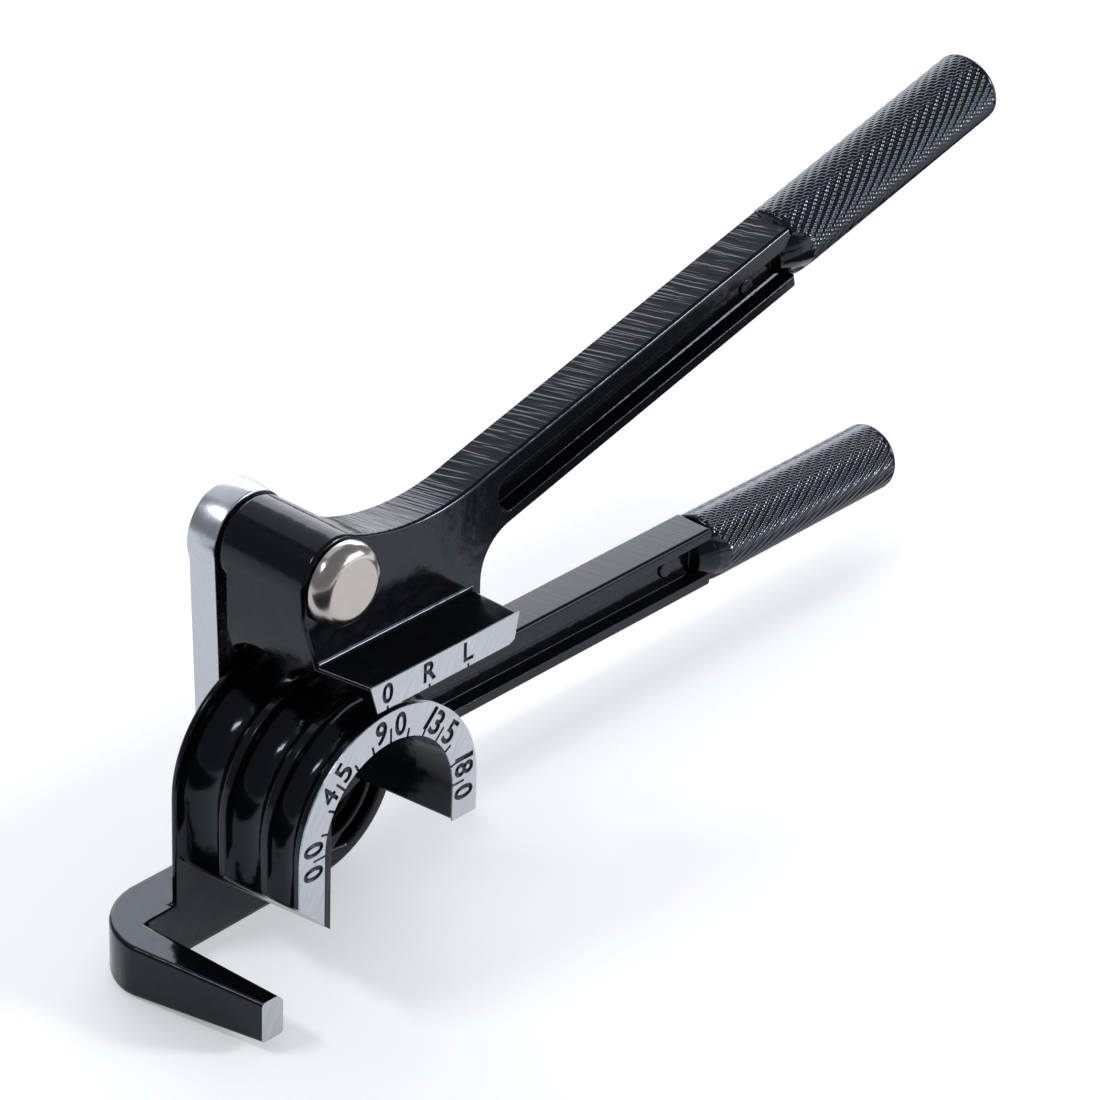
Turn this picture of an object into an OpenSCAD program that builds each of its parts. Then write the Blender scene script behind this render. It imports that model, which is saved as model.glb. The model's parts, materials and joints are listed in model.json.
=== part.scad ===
// Hand tube bender for three tube sizes: a grooved forming die on the lower
// handle, a shoe on the swinging lever, and a link that joins their two pivots.
// X runs along the lower handle, Y along the bend axis from the dial face to the
// back, and Z up. The origin is on the bend axis, in the plane of the dial face.

/* [Tubes] */
// Diameter of the small tube, in the groove next to the dial
tube_small = 6; // [5:0.1:6.6]
// Diameter of the medium tube, in the middle groove
tube_medium = 8; // [7:0.1:8.6]
// Diameter of the large tube, in the rear groove
tube_large = 10; // [9:0.1:10.4]
// Radial play of a tube in its groove
groove_play = 0.1; // [0.05:0.01:0.3]

/* [Forming die] */
// Radius over the ridges of the die
die_r = 21; // [19.5:0.1:23]
// Width of the dial face, from the ridges in to the hollow
dial_wall = 5.8; // [5:0.1:6.6]
// Narrowing of the hollow from its mouth to its floor, on the radius
hollow_draft = 2.6; // [1.6:0.1:3.2]
// Thickness of the ridge behind the dial face
front_rim = 1.4; // [1:0.1:2]
// Thickness of the two ridges between grooves
ridge_t = 1.6; // [1.2:0.1:2.2]
// Thickness of the flange behind the rear groove
rear_rim = 1.3; // [1:0.1:1.8]
// Thickness of the wall that closes the hollow, with the flange
back_wall = 4.5; // [3.5:0.1:6]
// Straight leg of the die below the bend axis, on the hook side
hook_leg = 8.1; // [6:0.1:10]
// Slant of the end of that leg
hook_leg_slant = 44; // [30:1:50]
// Fall of that leg's end from the dial face to the back
hook_leg_fall = 2.1; // [0:0.1:3]
// Straight leg of the die below the bend axis, on the handle side
handle_leg = 7.1; // [5:0.1:9]
// Thickness of the rib inside the hook side's leg
leg_rib = 1.9; // [1:0.1:2.4]
// Set-back of that rib from the dial face
rib_setback = 0.4; // [0.2:0.1:1]

/* [Hook] */
// Distance from the bend axis to the inner side of the finger, at its root
hook_reach = 27.1; // [26.9:0.1:30]
// Lean of the finger's inner side towards the die, from root to tip
finger_taper = 1; // [0:0.1:1.4]
// Width of the finger at its tip
finger_tip_w = 4.9; // [4:0.1:6]
// Width of the finger at its root
finger_root_w = 7.6; // [6.5:0.1:9]
// Length of the finger past the dial face
finger_past = 1.4; // [0.5:0.1:4]
// Height of the finger and its arm
finger_h = 10.2; // [9:0.1:12]
// Radius of the outer corner of the arm
hook_corner_r = 14; // [10:0.1:16]
// Rise of the finger's underside from root to tip
finger_rise = 2.3; // [1:0.1:3]
// Bevel along the inner top edge of the finger
finger_bevel = 1.3; // [0.5:0.1:1.6]

/* [Lower handle] */
// Depth of the bottom edge below the bend axis
base_drop = 31.2; // [30:0.1:34]
// Radius of the guard's round corner behind the die
guard_r = 18.6; // [17.5:0.1:19.5]
// Distance of that corner's centre from the bend axis, along the handle
guard_x = 13.6; // [12:0.1:15]
// Width of the guard's rim
guard_rim = 2.7; // [2.2:0.1:3.2]
// Width of the slot inside that rim
guard_slot = 2.65; // [2:0.05:3]
// Width of the rib inside that slot
guard_rib = 1.35; // [1:0.05:2]
// Thickness of the hook's arm and the guard
plate_t = 10.2; // [9.6:0.1:11.5]
// Width of both beams, along the bend axis
beam_w = 8.6; // [8:0.1:9]
// Height of the lower beam
lower_beam_h = 12.2; // [11:0.1:13]
// Distance of the lower beam's middle below the bend axis
lower_beam_drop = 15.45; // [15:0.05:16.5]
// Distance from the bend axis to the end of the lower beam
lower_beam_end = 125.5; // [108:0.5:148]

/* [Lever] */
// Rise of the lever's beam above the line of the shoe
lever_rise = 14.4; // [12:0.1:17]
// Distance of the beam's middle below the pivot, square to the beam
lever_beam_drop = 9.15; // [8.5:0.05:9.8]
// Height of the lever's beam
upper_beam_h = 12.4; // [11.5:0.1:13]
// Distance along the beam from the pivot to the end of the beam
upper_beam_end = 114.5; // [96:0.5:136]
// Set-back of the lever's front face from the dial face
lever_setback = 10.9; // [10:0.1:12]
// Radius of the pivot boss
boss_r = 8.1; // [7.7:0.1:8.6]
// Radius of the saddle between boss and beam
saddle_r = 45; // [40:0.5:52]
// Radius of the throat between shoe and beam
throat_r = 8.8; // [7:0.1:10]

/* [Shoe] */
// Gap between the shoe and the ridges of the die
shoe_gap = 1.05; // [0.8:0.05:1.3]
// Height of the shoe's bare strip
shoe_h = 5.45; // [5:0.05:6]
// Reach of the shoe past the bend axis at its toe
shoe_toe = 4.9; // [4:0.1:6]
// Reach of the shoe past the bend axis at its heel
shoe_heel = 30.6; // [26:0.1:34]
// Slant of the toe, seen from the front
toe_slant = 17; // [14:0.5:19]
// Splay of the toe, seen from above
toe_splay = 8.4; // [6:0.1:9]
// Bevel at the lower corner of the heel
heel_bevel = 1.2; // [0.6:0.1:1.6]
// Clearance between the shoe's back and the guard
shoe_back_gap = 0.6; // [0.4:0.1:1]

/* [Beam pockets] */
// Thickness of the lower beam's upper flange
lower_flange_top = 2.4; // [1.8:0.1:3]
// Thickness of the lower beam's bottom flange
lower_flange_bottom = 2.4; // [1.8:0.1:3]
// Thickness of the lever's upper flange
upper_flange_top = 3.5; // [2.5:0.1:4]
// Thickness of the lever's bottom flange
upper_flange_bottom = 2.2; // [1.8:0.1:3]
// Thickness of the web between the pockets
web_t = 2.8; // [2:0.1:4]
// Length of the grips' round root between the ends of the flanges
neck_root = 3; // [2:0.1:5]
// Radius of a pocket's rounded end
pocket_r = 2.4; // [1.5:0.1:3]
// Distance from the bend axis to the lower beam's pocket
lower_pocket_start = 40; // [36:0.5:50]
// Raise of the bare panel on the lower beam's web
panel_raise = 0.6; // [0.3:0.1:1]
// Distance from the bend axis to the end of that panel
panel_end = 99.5; // [78:0.5:106]
// Height of that panel
panel_h = 4; // [3:0.1:5]
// Distance along the lever's beam from the pivot to its pocket
upper_pocket_start = 37.2; // [36:0.1:46]

/* [Grips] */
// Radius over the grips
grip_r = 6.75; // [6:0.05:7.2]
// Length of the lower handle's knurled grip
lower_grip_l = 49.3; // [40:0.1:60]
// Length of the lever's knurled grip
upper_grip_l = 52.3; // [40:0.1:60]
// Lift of the lever's grip over the middle of its beam
upper_grip_lift = 1; // [0:0.05:1.2]
// Length of the neck between beam and knurl
neck_l = 3.2; // [2:0.1:5]
// Radius of the neck where it leaves the beam
neck_r = 5.6; // [5:0.1:6]
// Crown of the grip's end
grip_crown = 1.2; // [0.6:0.1:2]

/* [Link and pivots] */
// Distance between the two pivots
link_l = 42; // [41.6:0.1:44]
// Lean of the link back from upright, in the stored position
link_lean = 2.2; // [0:0.1:4]
// Half the width of the link
link_r = 8.3; // [7.8:0.1:8.3]
// Radius of the link's round ends
link_end_r = 8.8; // [8.8:0.1:9.2]
// Radius of the crown across the edge of those ends
link_crown_r = 24; // [20:1:60]
// Thickness of the link
link_t = 6.2; // [5.6:0.1:6.8]
// Radius of both rivets' shanks
rivet_r = 4; // [3.5:0.1:4.4]
// Radial play of a rivet in a bore
rivet_play = 0.05; // [0.02:0.01:0.09]
// Radius of the lever rivet's front head
rivet_head_r = 7.5; // [7:0.1:7.6]
// Height of the lever rivet's front head
rivet_head_h = 3.8; // [2.6:0.1:4.4]
// Radius of the die rivet's head in the hollow
die_head_r = 6.5; // [5.6:0.1:7.4]
// Height of the die rivet's head in the hollow
die_head_h = 1.8; // [1.2:0.1:2.4]
// Radius of the rivets' upset tails
rivet_tail_r = 5.6; // [5:0.1:5.9]
// Height of the rivets' upset tails
rivet_tail_h = 1.6; // [1:0.1:2]
// Thickness of the spacing washers
washer_t = 0.5; // [0.4:0.05:0.9]
// Radius of the spacing washers
washer_r = 6.4; // [5.6:0.1:6.8]
// End play between pieces that turn on each other
end_play = 0.05; // [0.02:0.01:0.1]
// Clearance of the handle under the swinging link
link_clear = 0.75; // [0.5:0.05:1.2]

/* [Hidden] */
$fn = 96;

// Round forms bite into the faces they blend with by this much
bite = 0.1;

// Grooves: places along the bend axis and the radius of the tubes' middle line
small_r = tube_small / 2 + groove_play;
medium_r = tube_medium / 2 + groove_play;
large_r = tube_large / 2 + groove_play;
small_y = front_rim + small_r;
medium_y = small_y + small_r + ridge_t + medium_r;
large_y = medium_y + medium_r + ridge_t + large_r;
plate_y = large_y + large_r;
die_depth = plate_y + rear_rim;
bend_r = die_r + shoe_gap / 2;
grooves = [[small_y, small_r], [medium_y, medium_r], [large_y, large_r]];

// Hollow of the die
hollow_r = die_r - dial_wall;
hollow_depth = die_depth - back_wall;
floor_r = hollow_r - hollow_draft;
hook_leg_l = hook_leg + hook_leg_fall + dial_wall + hollow_draft;

// Layers behind the die, from front to back
link_y = die_depth + washer_t + 2 * end_play;
link_back = link_y + link_t;
plate_back = plate_y + plate_t;
beam_y = link_back + 2 * end_play;
beam_back = beam_y + beam_w;

// Lower handle
beam_top = lower_beam_h / 2 - lower_beam_drop;
beam_bottom = beam_top - lower_beam_h;
link_floor = -(link_end_r + link_clear);
arm_top = finger_h - base_drop;
guard_z = guard_r - base_drop;
slot_out = guard_r - guard_rim;
slot_in = slot_out - guard_slot;
rib_in = slot_in - guard_rib;
slot_end = -74;

// Lever, at the stored position
pivot = [-link_l * sin(link_lean), link_l * cos(link_lean)];
shoe_z = die_r + shoe_gap;
shoe_top = shoe_z + shoe_h;
shoe_back = plate_y - shoe_back_gap;
lever_back = lever_setback + beam_w;
boss_end = die_depth;
upper_top = upper_beam_h / 2 - lever_beam_drop;
upper_bottom = upper_top - upper_beam_h;
saddle_z = upper_top + saddle_r - bite;
saddle_x = sqrt(pow(saddle_r + boss_r - bite, 2) - pow(saddle_z, 2));
saddle_share = boss_r / (saddle_r + boss_r);
throat_x = shoe_heel + 2.2 + throat_r;
throat_z = pivot[1] + (upper_bottom - throat_r + sin(lever_rise) * (throat_x - pivot[0])) / cos(lever_rise);
pocket_depth = (beam_w - web_t) / 2;

// Cuts run past the faces they open by this much
past = 1;

// Body of an XZ outline between two places along Y
module slab(front, back) {
    translate([0, back, 0])
        rotate([90, 0, 0])
            linear_extrude(back - front)
                children();
}

// Solid turned about the Y axis from an outline of radius and depth
module turned() {
    rotate([-90, 0, 0])
        rotate_extrude($fn = 128)
            children();
}

// Round bar along Y
module bar(r, front, back) {
    translate([0, front, 0])
        rotate([-90, 0, 0])
            cylinder(r = r, h = back - front);
}

module at_pivot() {
    translate([pivot[0], 0, pivot[1]])
        children();
}

// Outline drawn in the lever's frame: across along the beam, from the pivot
module lever_frame() {
    translate(pivot)
        rotate(lever_rise)
            children();
}

// Outline of the die's wall: radius across, depth up
module die_section() {
    difference() {
        polygon([
            [0, hollow_depth],
            [floor_r, hollow_depth],
            [hollow_r, 0],
            [die_r, 0],
            [die_r, die_depth],
            [0, die_depth]
        ]);
        for (g = grooves)
            translate([bend_r, g[0]])
                circle(r = g[1]);
    }
}

// Straight leg of the die below the axis
module die_leg(length) {
    translate([0, 0, -length])
        linear_extrude(length)
            intersection() {
                die_section();
                translate([floor_r, 0])
                    square([dial_wall + hollow_draft, die_depth]);
            }
}

module die() {
    intersection() {
        bar(hollow_r + past / 2, rib_setback, hollow_depth + past);
        translate([-die_r, 0, -past])
            cube([die_r - hollow_r + leg_rib, die_depth, die_r]);
    }
    intersection() {
        turned()
            die_section();
        translate([-2 * die_r, -past, 0])
            cube([4 * die_r, die_depth + 2 * past, 2 * die_r]);
    }
    die_leg(handle_leg);
    slab(hollow_depth, die_depth)
        translate([-floor_r - past, -handle_leg])
            square([2 * (floor_r + past), handle_leg + past]);
    difference() {
        union() {
            mirror([1, 0, 0])
                die_leg(hook_leg_l);
            translate([-hollow_r - past / 2, rib_setback, -hook_leg_l])
                cube([past / 2 + leg_rib, hollow_depth - rib_setback + past, hook_leg_l]);
        }
        translate([-die_r, 0, -hook_leg])
            rotate([-atan(hook_leg_fall / plate_y), hook_leg_slant, 0])
                translate([-die_r, -past, -2 * die_r])
                    cube([4 * die_r, 2 * die_depth, 2 * die_r]);
    }
}

// Flange that carries the die, down to the bottom edge
module flange_outline() {
    translate([-die_r, -base_drop])
        square([die_r + guard_x, base_drop]);
    translate([0, guard_z])
        square([die_r, -guard_z]);
    circle(r = die_r);
}

// Guard behind the die, cut off level below the link
module guard_outline() {
    difference() {
        translate([-die_r / 2, -base_drop])
            square([die_r / 2 + guard_x + guard_r - bite, base_drop + link_floor]);
        difference() {
            translate([guard_x, guard_z - guard_r - past])
                square([guard_r + past, guard_r + past]);
            translate([guard_x, guard_z])
                circle(r = guard_r);
        }
    }
}

// Pocket with round ends between two places along a beam
module pocket_outline(span, bottom, top) {
    difference() {
        translate([span[0], bottom])
            square([span[1] - span[0], top - bottom]);
        for (z = [bottom, top - pocket_r])
            difference() {
                translate([span[0], z])
                    square(pocket_r);
                translate([span[0] + pocket_r, z == bottom ? z + pocket_r : z])
                    circle(r = pocket_r, $fn = 32);
            }
    }
}

// Slot inside the guard's rim, with a round end
module guard_slot_outline() {
    slot_mid = (slot_in + slot_out) / 2;
    translate([guard_x, guard_z]) {
        intersection() {
            difference() {
                circle(r = slot_out);
                circle(r = slot_in);
            }
            polygon([
                [0, 0],
                [guard_r * cos(slot_end), guard_r * sin(slot_end)] * 2,
                [3 * guard_r, -3 * guard_r],
                [3 * guard_r, 0]
            ]);
        }
        translate([slot_mid * cos(slot_end), slot_mid * sin(slot_end)])
            circle(d = guard_slot + bite, $fn = 32);
    }
}

// Hollow of the guard inside its rib, below a sloping edge
module guard_hollow_outline() {
    intersection() {
        translate([guard_x, guard_z])
            circle(r = rib_in);
        polygon([
            [guard_x + guard_r, guard_z + 1],
            [guard_x - guard_r, guard_z - 16.4],
            [guard_x - guard_r, -base_drop],
            [guard_x + guard_r, -base_drop]
        ]);
    }
}

// Arm and finger of the hook, seen from above
module hook_outline() {
    tip = finger_taper - hook_reach;
    root = -hook_reach - finger_root_w;
    corner = [root + hook_corner_r - bite, plate_back - hook_corner_r + bite];
    difference() {
        polygon([
            [0, plate_y],
            [-hook_reach, plate_y],
            [tip, -finger_past],
            [tip - finger_tip_w, -finger_past],
            [root, corner[1]],
            [root, plate_back],
            [0, plate_back]
        ]);
        difference() {
            translate(corner - [hook_corner_r + past, 0])
                square(hook_corner_r + past);
            translate(corner)
                circle(r = hook_corner_r);
        }
    }
}

// Bevel along the finger's inner top edge, and the slope under the finger
module finger_cuts() {
    side = finger_bevel * sqrt(2);
    finger_l = plate_y + finger_past;
    translate([finger_taper - hook_reach, -finger_past, arm_top])
        rotate([0, 45, atan(finger_taper / finger_l)])
            translate([-side / 2, -past, -side / 2])
                cube([side, finger_l + past - bite, side]);
    translate([-2 * hook_reach, plate_y, -base_drop])
        rotate([-atan(finger_rise / finger_l), 0, 0])
            translate([0, -2 * plate_y, -finger_h])
                cube([2 * hook_reach - die_r, 2 * plate_y, finger_h]);
}

// Round grip along X with its neck, from the end of a beam
module grip(length) {
    tip = neck_l + length;
    rotate([0, 90, 0])
        rotate_extrude($fn = 96)
            polygon([
                [0, -neck_root],
                [beam_w / 2 - bite, -neck_root],
                [neck_r, 0],
                [grip_r, neck_l],
                [grip_r, tip - grip_crown],
                [grip_r - grip_crown, tip - grip_crown / 4],
                [0, tip]
            ]);
}

// Lower beam with a pocket in its front and its back, open at the grip's end
module lower_beam() {
    pocket_span = [lower_pocket_start, lower_beam_end + 2 * pocket_r];
    pocket_bottom = beam_bottom + lower_flange_bottom;
    pocket_top = beam_top - lower_flange_top;
    difference() {
        slab(beam_y, beam_back)
            translate([-die_r / 4, beam_bottom])
                square([die_r / 4 + lower_beam_end, lower_beam_h]);
        slab(beam_y - past, beam_y + pocket_depth)
            pocket_outline(pocket_span, pocket_bottom, pocket_top);
        slab(beam_back - pocket_depth, beam_back + past)
            pocket_outline(pocket_span, pocket_bottom, pocket_top);
    }
    translate([lower_pocket_start, beam_y + pocket_depth - panel_raise, pocket_top - panel_h])
        cube([panel_end - lower_pocket_start, panel_raise + web_t / 2, panel_h + lower_flange_top / 2]);
    translate([lower_beam_end, (beam_y + beam_back) / 2, -lower_beam_drop])
        grip(lower_grip_l);
}

module forming_handle() {
    color("#17181a")
        difference() {
            union() {
                die();
                slab(plate_y, die_depth)
                    flange_outline();
                slab(plate_y, plate_back)
                    guard_outline();
                lower_beam();
                translate([0, 0, -base_drop])
                    linear_extrude(finger_h)
                        hook_outline();
                bar(die_head_r + past, hollow_depth, die_depth);
            }
            bar(rivet_r + rivet_play, 0, link_back);
            slab(plate_y - past, plate_y + plate_t / 2)
                guard_slot_outline();
            slab(plate_y - past, plate_y + plate_t / 4)
                guard_hollow_outline();
            finger_cuts();
        }
}

// Part of the lever that carries the beam, in the lever's frame
module lever_outline() {
    difference() {
        polygon([
            [0, 0],
            [saddle_x, saddle_z] * saddle_share,
            [saddle_x, upper_top],
            [upper_beam_end, upper_top],
            [upper_beam_end, upper_bottom],
            [boss_r, upper_bottom]
        ]);
        translate([saddle_x, saddle_z])
            circle(r = saddle_r, $fn = 256);
    }
}

// Neck between beam and shoe, as it stands at the stored position
module neck_outline() {
    heel = throat_x - throat_r;
    difference() {
        polygon([
            [pivot[0] - boss_r + bite, pivot[1]],
            [pivot[0] - boss_r + bite, shoe_z + shoe_h / 2],
            [heel, shoe_z + shoe_h / 2],
            [heel, throat_z],
            [throat_x - throat_r * sin(lever_rise), throat_z + throat_r * cos(lever_rise)],
            [saddle_x * cos(lever_rise), pivot[1] - lever_beam_drop + saddle_x * sin(lever_rise)],
            pivot
        ]);
        translate([throat_x, throat_z])
            circle(r = throat_r);
    }
}

// Gusset behind the beam, from the boss down to the shoe
module gusset_outline() {
    polygon([
        [pivot[0] - boss_r + bite, pivot[1]],
        [pivot[0] - boss_r + bite, shoe_z + shoe_h / 2],
        [shoe_heel - shoe_h, shoe_z + shoe_h / 2],
        [shoe_heel - shoe_h, shoe_top],
        [pivot[0] + boss_r / 2, pivot[1]]
    ]);
}

module shoe_outline() {
    heel_in = shoe_heel - shoe_gap;
    polygon([
        [-2 * shoe_toe, shoe_z],
        [heel_in - heel_bevel, shoe_z],
        [heel_in, shoe_z + heel_bevel / 2],
        [shoe_heel, shoe_top],
        [-2 * shoe_toe, shoe_top]
    ]);
}

// Everything left of the toe's slanted side
module toe_cut() {
    translate([-shoe_toe, 0, shoe_top])
        rotate([0, -toe_slant, toe_splay])
            translate([-die_r, -die_r, -die_r])
                cube([die_r, 3 * die_r, 2 * die_r]);
}

// Half-round grooves along the shoe
module shoe_grooves() {
    for (g = grooves)
        translate([-die_r, g[0], bend_r])
            rotate([0, 90, 0])
                cylinder(r = g[1], h = 2 * die_r + shoe_heel);
}

// Lever's beam with a pocket in its front and its back, open at the grip's end
module upper_beam() {
    pocket_span = [upper_pocket_start, upper_beam_end + 2 * pocket_r];
    pocket_bottom = upper_bottom + upper_flange_bottom;
    pocket_top = upper_top - upper_flange_top;
    difference() {
        slab(lever_setback, lever_back)
            lever_frame()
                lever_outline();
        slab(lever_setback - past, lever_setback + pocket_depth)
            lever_frame()
                pocket_outline(pocket_span, pocket_bottom, pocket_top);
        slab(lever_back - pocket_depth, lever_back + past)
            lever_frame()
                pocket_outline(pocket_span, pocket_bottom, pocket_top);
    }
    at_pivot()
        rotate([0, -lever_rise, 0])
            translate([upper_beam_end, (lever_setback + lever_back) / 2, upper_grip_lift - lever_beam_drop])
                grip(upper_grip_l);
}

module bending_lever() {
    color("#17181a")
        difference() {
            union() {
                difference() {
                    union() {
                        slab(0, shoe_back)
                            shoe_outline();
                        slab(lever_setback, lever_back)
                            neck_outline();
                        slab(lever_setback, shoe_back)
                            gusset_outline();
                    }
                    toe_cut();
                }
                upper_beam();
                at_pivot()
                    bar(boss_r, lever_setback, boss_end);
            }
            at_pivot()
                bar(rivet_r + rivet_play, 0, link_back);
            shoe_grooves();
        }
}

// Flat bar of the link from pivot to pivot
module link_outline() {
    rotate(link_lean)
        translate([-link_r, 0])
            square([2 * link_r, link_l]);
    circle(r = link_r - bite);
    translate(pivot)
        circle(r = link_r - bite);
}

// Round end of the link with its crowned edge
module link_end() {
    turned()
        intersection() {
            translate([0, link_y])
                square([link_end_r, link_t]);
            translate([link_end_r - link_crown_r, link_back - link_t / 4])
                circle(r = link_crown_r, $fn = 128);
        }
}

module link() {
    color("#c9cdd2")
        difference() {
            union() {
                slab(link_y, link_back)
                    link_outline();
                link_end();
                at_pivot()
                    link_end();
            }
            bar(rivet_r + rivet_play, link_y - past, link_back + past);
            at_pivot()
                bar(rivet_r + rivet_play, link_y - past, link_back + past);
        }
}

// Upset tail of a rivet behind the link
module rivet_tail() {
    turned()
        polygon([
            [0, link_back + end_play],
            [rivet_tail_r, link_back + end_play],
            [rivet_tail_r, link_back + end_play + rivet_tail_h / 3],
            [rivet_r, link_back + end_play + rivet_tail_h],
            [0, link_back + end_play + rivet_tail_h]
        ]);
}

module die_rivet() {
    head_y = hollow_depth - end_play;
    color("#b9bcc0") {
        bar(rivet_r, head_y - die_head_h / 2, link_back + rivet_tail_h);
        rivet_tail();
        turned()
            polygon([
                [0, head_y],
                [die_head_r, head_y],
                [die_head_r, head_y - die_head_h / 2],
                [rivet_r, head_y - die_head_h],
                [0, head_y - die_head_h]
            ]);
    }
}

module lever_rivet() {
    head_y = lever_setback - end_play;
    color("#d8d2c9")
        at_pivot() {
            bar(rivet_r, head_y - rivet_head_h / 2, link_back + rivet_tail_h);
            rivet_tail();
            turned()
                polygon([
                    [0, head_y],
                    [rivet_head_r, head_y],
                    [rivet_head_r, head_y - rivet_head_h / 2],
                    [rivet_head_r - rivet_head_h / 5, head_y - 4 * rivet_head_h / 5],
                    [rivet_head_r - rivet_head_h / 2, head_y - rivet_head_h],
                    [0, head_y - rivet_head_h]
                ]);
        }
}

// Spacing washer on a rivet, in front of the link
module washer() {
    difference() {
        bar(washer_r, die_depth + end_play, die_depth + end_play + washer_t);
        bar(rivet_r + rivet_play, die_depth, link_y);
    }
}

module die_washer() {
    color("#a9adb2")
        washer();
}

module lever_washer() {
    color("#a9adb2")
        at_pivot()
            washer();
}

forming_handle();
bending_lever();
link();
die_rivet();
lever_rivet();
die_washer();
lever_washer();
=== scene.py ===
# %% [markdown]
# # A hand tube bender
# The CAD part gives seven solids: two black castings, a plated link, two rivets
# and two washers. They could be shown as they are, but a casting has soft edges
# under its paint, milled faces that are bare again, stamped figures and knurled
# grips. This lesson adds those around the solids, which stay where they are.

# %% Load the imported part
import json
import math

import bmesh
import bpy
from mathutils import Matrix, Vector


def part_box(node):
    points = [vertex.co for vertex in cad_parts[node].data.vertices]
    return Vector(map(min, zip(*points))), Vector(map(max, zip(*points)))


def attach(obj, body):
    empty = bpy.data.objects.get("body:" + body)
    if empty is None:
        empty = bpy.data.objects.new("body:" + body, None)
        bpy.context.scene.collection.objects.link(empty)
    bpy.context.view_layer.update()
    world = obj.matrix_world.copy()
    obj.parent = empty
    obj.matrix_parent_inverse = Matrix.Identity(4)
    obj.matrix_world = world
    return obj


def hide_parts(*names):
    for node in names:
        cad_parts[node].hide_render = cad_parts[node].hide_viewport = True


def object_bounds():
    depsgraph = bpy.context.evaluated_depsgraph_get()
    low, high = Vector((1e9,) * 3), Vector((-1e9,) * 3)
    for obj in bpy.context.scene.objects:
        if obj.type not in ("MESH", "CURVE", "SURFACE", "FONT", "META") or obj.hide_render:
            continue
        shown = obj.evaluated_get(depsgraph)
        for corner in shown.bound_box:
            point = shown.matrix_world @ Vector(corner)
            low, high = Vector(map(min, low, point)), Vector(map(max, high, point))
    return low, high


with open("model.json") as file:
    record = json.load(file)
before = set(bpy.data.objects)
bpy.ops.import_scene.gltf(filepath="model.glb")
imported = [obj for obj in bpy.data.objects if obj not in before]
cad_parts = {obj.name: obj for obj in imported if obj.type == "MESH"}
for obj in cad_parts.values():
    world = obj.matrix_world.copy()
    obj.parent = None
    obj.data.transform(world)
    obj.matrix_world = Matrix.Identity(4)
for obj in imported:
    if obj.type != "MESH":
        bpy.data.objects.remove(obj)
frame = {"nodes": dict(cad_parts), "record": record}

cad_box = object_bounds()
mounts = {m["name"]: m for m in frame["record"]["mounts"]}
print("CAD box in mm:", [[round(1000 * c, 2) for c in corner] for corner in cad_box])

# %% [markdown]
# ## Small helpers
# Sizes are easier to read in millimetres, and Blender works in metres here. A
# finished piece is a bmesh turned into an object at the origin, which then rides
# on a CAD body, so that it swings with its joint.

# %% Helpers for every piece
MM = 0.001


def add_object(name, data):
    """Puts a mesh, a lamp or a camera into the scene."""
    obj = bpy.data.objects.new(name, data)
    bpy.context.scene.collection.objects.link(obj)
    return obj


def bm_object(bm, name, materials=()):
    """Turns a bmesh into an object at the origin."""
    mesh = bpy.data.meshes.new(name)
    bm.to_mesh(mesh)
    bm.free()
    for material in materials:
        mesh.materials.append(material)
    return add_object(name, mesh)


def piece(bm, name, body, materials):
    """Turns a bmesh into an object that rides on a CAD body."""
    obj = bm_object(bm, name, materials)
    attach(obj, body)
    print(name, "has", len(obj.data.polygons), "faces")
    return obj


# %% [markdown]
# ## A clean copy of a solid
# A CAD node's mesh is loose triangles, and a bevel needs real edges. So a copy has
# its double points merged and its flat faces made whole. Where cuts of the solid
# meet, very short edges are left. They are closed, because a bevel can't pass them.

# %% Merged copies
SAME_POINT = 0.001 * MM
FLAT_ENOUGH = math.radians(0.5)
TINY_EDGE = 0.12 * MM
EDGE_WEIGHT = "bevel_weight_edge"


def merged_copy(node, tiny=TINY_EDGE):
    """A copy of a CAD node's mesh: triangles joined, flat faces whole, tiny edges gone."""
    bm = bmesh.new()
    bm.from_mesh(frame["nodes"][node].data)
    bm.edges.layers.float.new(EDGE_WEIGHT)
    bmesh.ops.remove_doubles(bm, verts=bm.verts, dist=SAME_POINT)
    bmesh.ops.dissolve_limit(bm, angle_limit=FLAT_ENOUGH, verts=bm.verts, edges=bm.edges)
    bmesh.ops.dissolve_degenerate(bm, dist=tiny, edges=bm.edges)
    for face in bm.faces:
        face.smooth = True
        face.material_index = 0
    print("copied", node, "with", len(bm.faces), "faces")
    return bm


# %% [markdown]
# ## Soft edges
# A sharp CAD edge has no highlight, and the eye misses it at once. The edges could
# be rounded one by one in the mesh, but a Bevel modifier does it live and can still
# be changed. Beside the fine facets of a groove a wide bevel would fold over
# itself, so these helpers measure the room that the faces beside an edge leave.

# %% Room beside an edge
STRAIGHT_ON = -0.7
SHARED_ROOM = 0.45
OWN_ROOM = 0.85


def leaving(edge, vert):
    """The direction of an edge as it leaves a vertex."""
    return (edge.other_vert(vert).co - vert.co).normalized()


def runs_on(edge, other, vert):
    """True where a second edge carries on the line of the first one."""
    return leaving(edge, vert).dot(leaving(other, vert)) < STRAIGHT_ON


def room_beside(edge, busy):
    """How far the faces beside an edge let it be rounded."""
    room = math.inf
    for face in edge.link_faces:
        for vert in edge.verts:
            for other in face.edges:
                if other is edge or vert not in other.verts or runs_on(edge, other, vert):
                    continue
                slant = leaving(edge, vert).cross(leaving(other, vert)).length
                share = SHARED_ROOM if other.other_vert(vert) in busy else OWN_ROOM
                room = min(room, other.calc_length() * slant * share)
    return room


# %% [markdown]
# An edge's weight sets its share of the bevel's width. The share is the same along
# a whole smooth line of edges, because a change on the way would leave a spike. A
# corner with hardly any room isn't rounded, and is marked sharp for the normals.

# %% Weights along lines of edges
SHARP_ANGLE = math.radians(28)
LEAST_ROUND = 0.12 * MM


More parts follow.
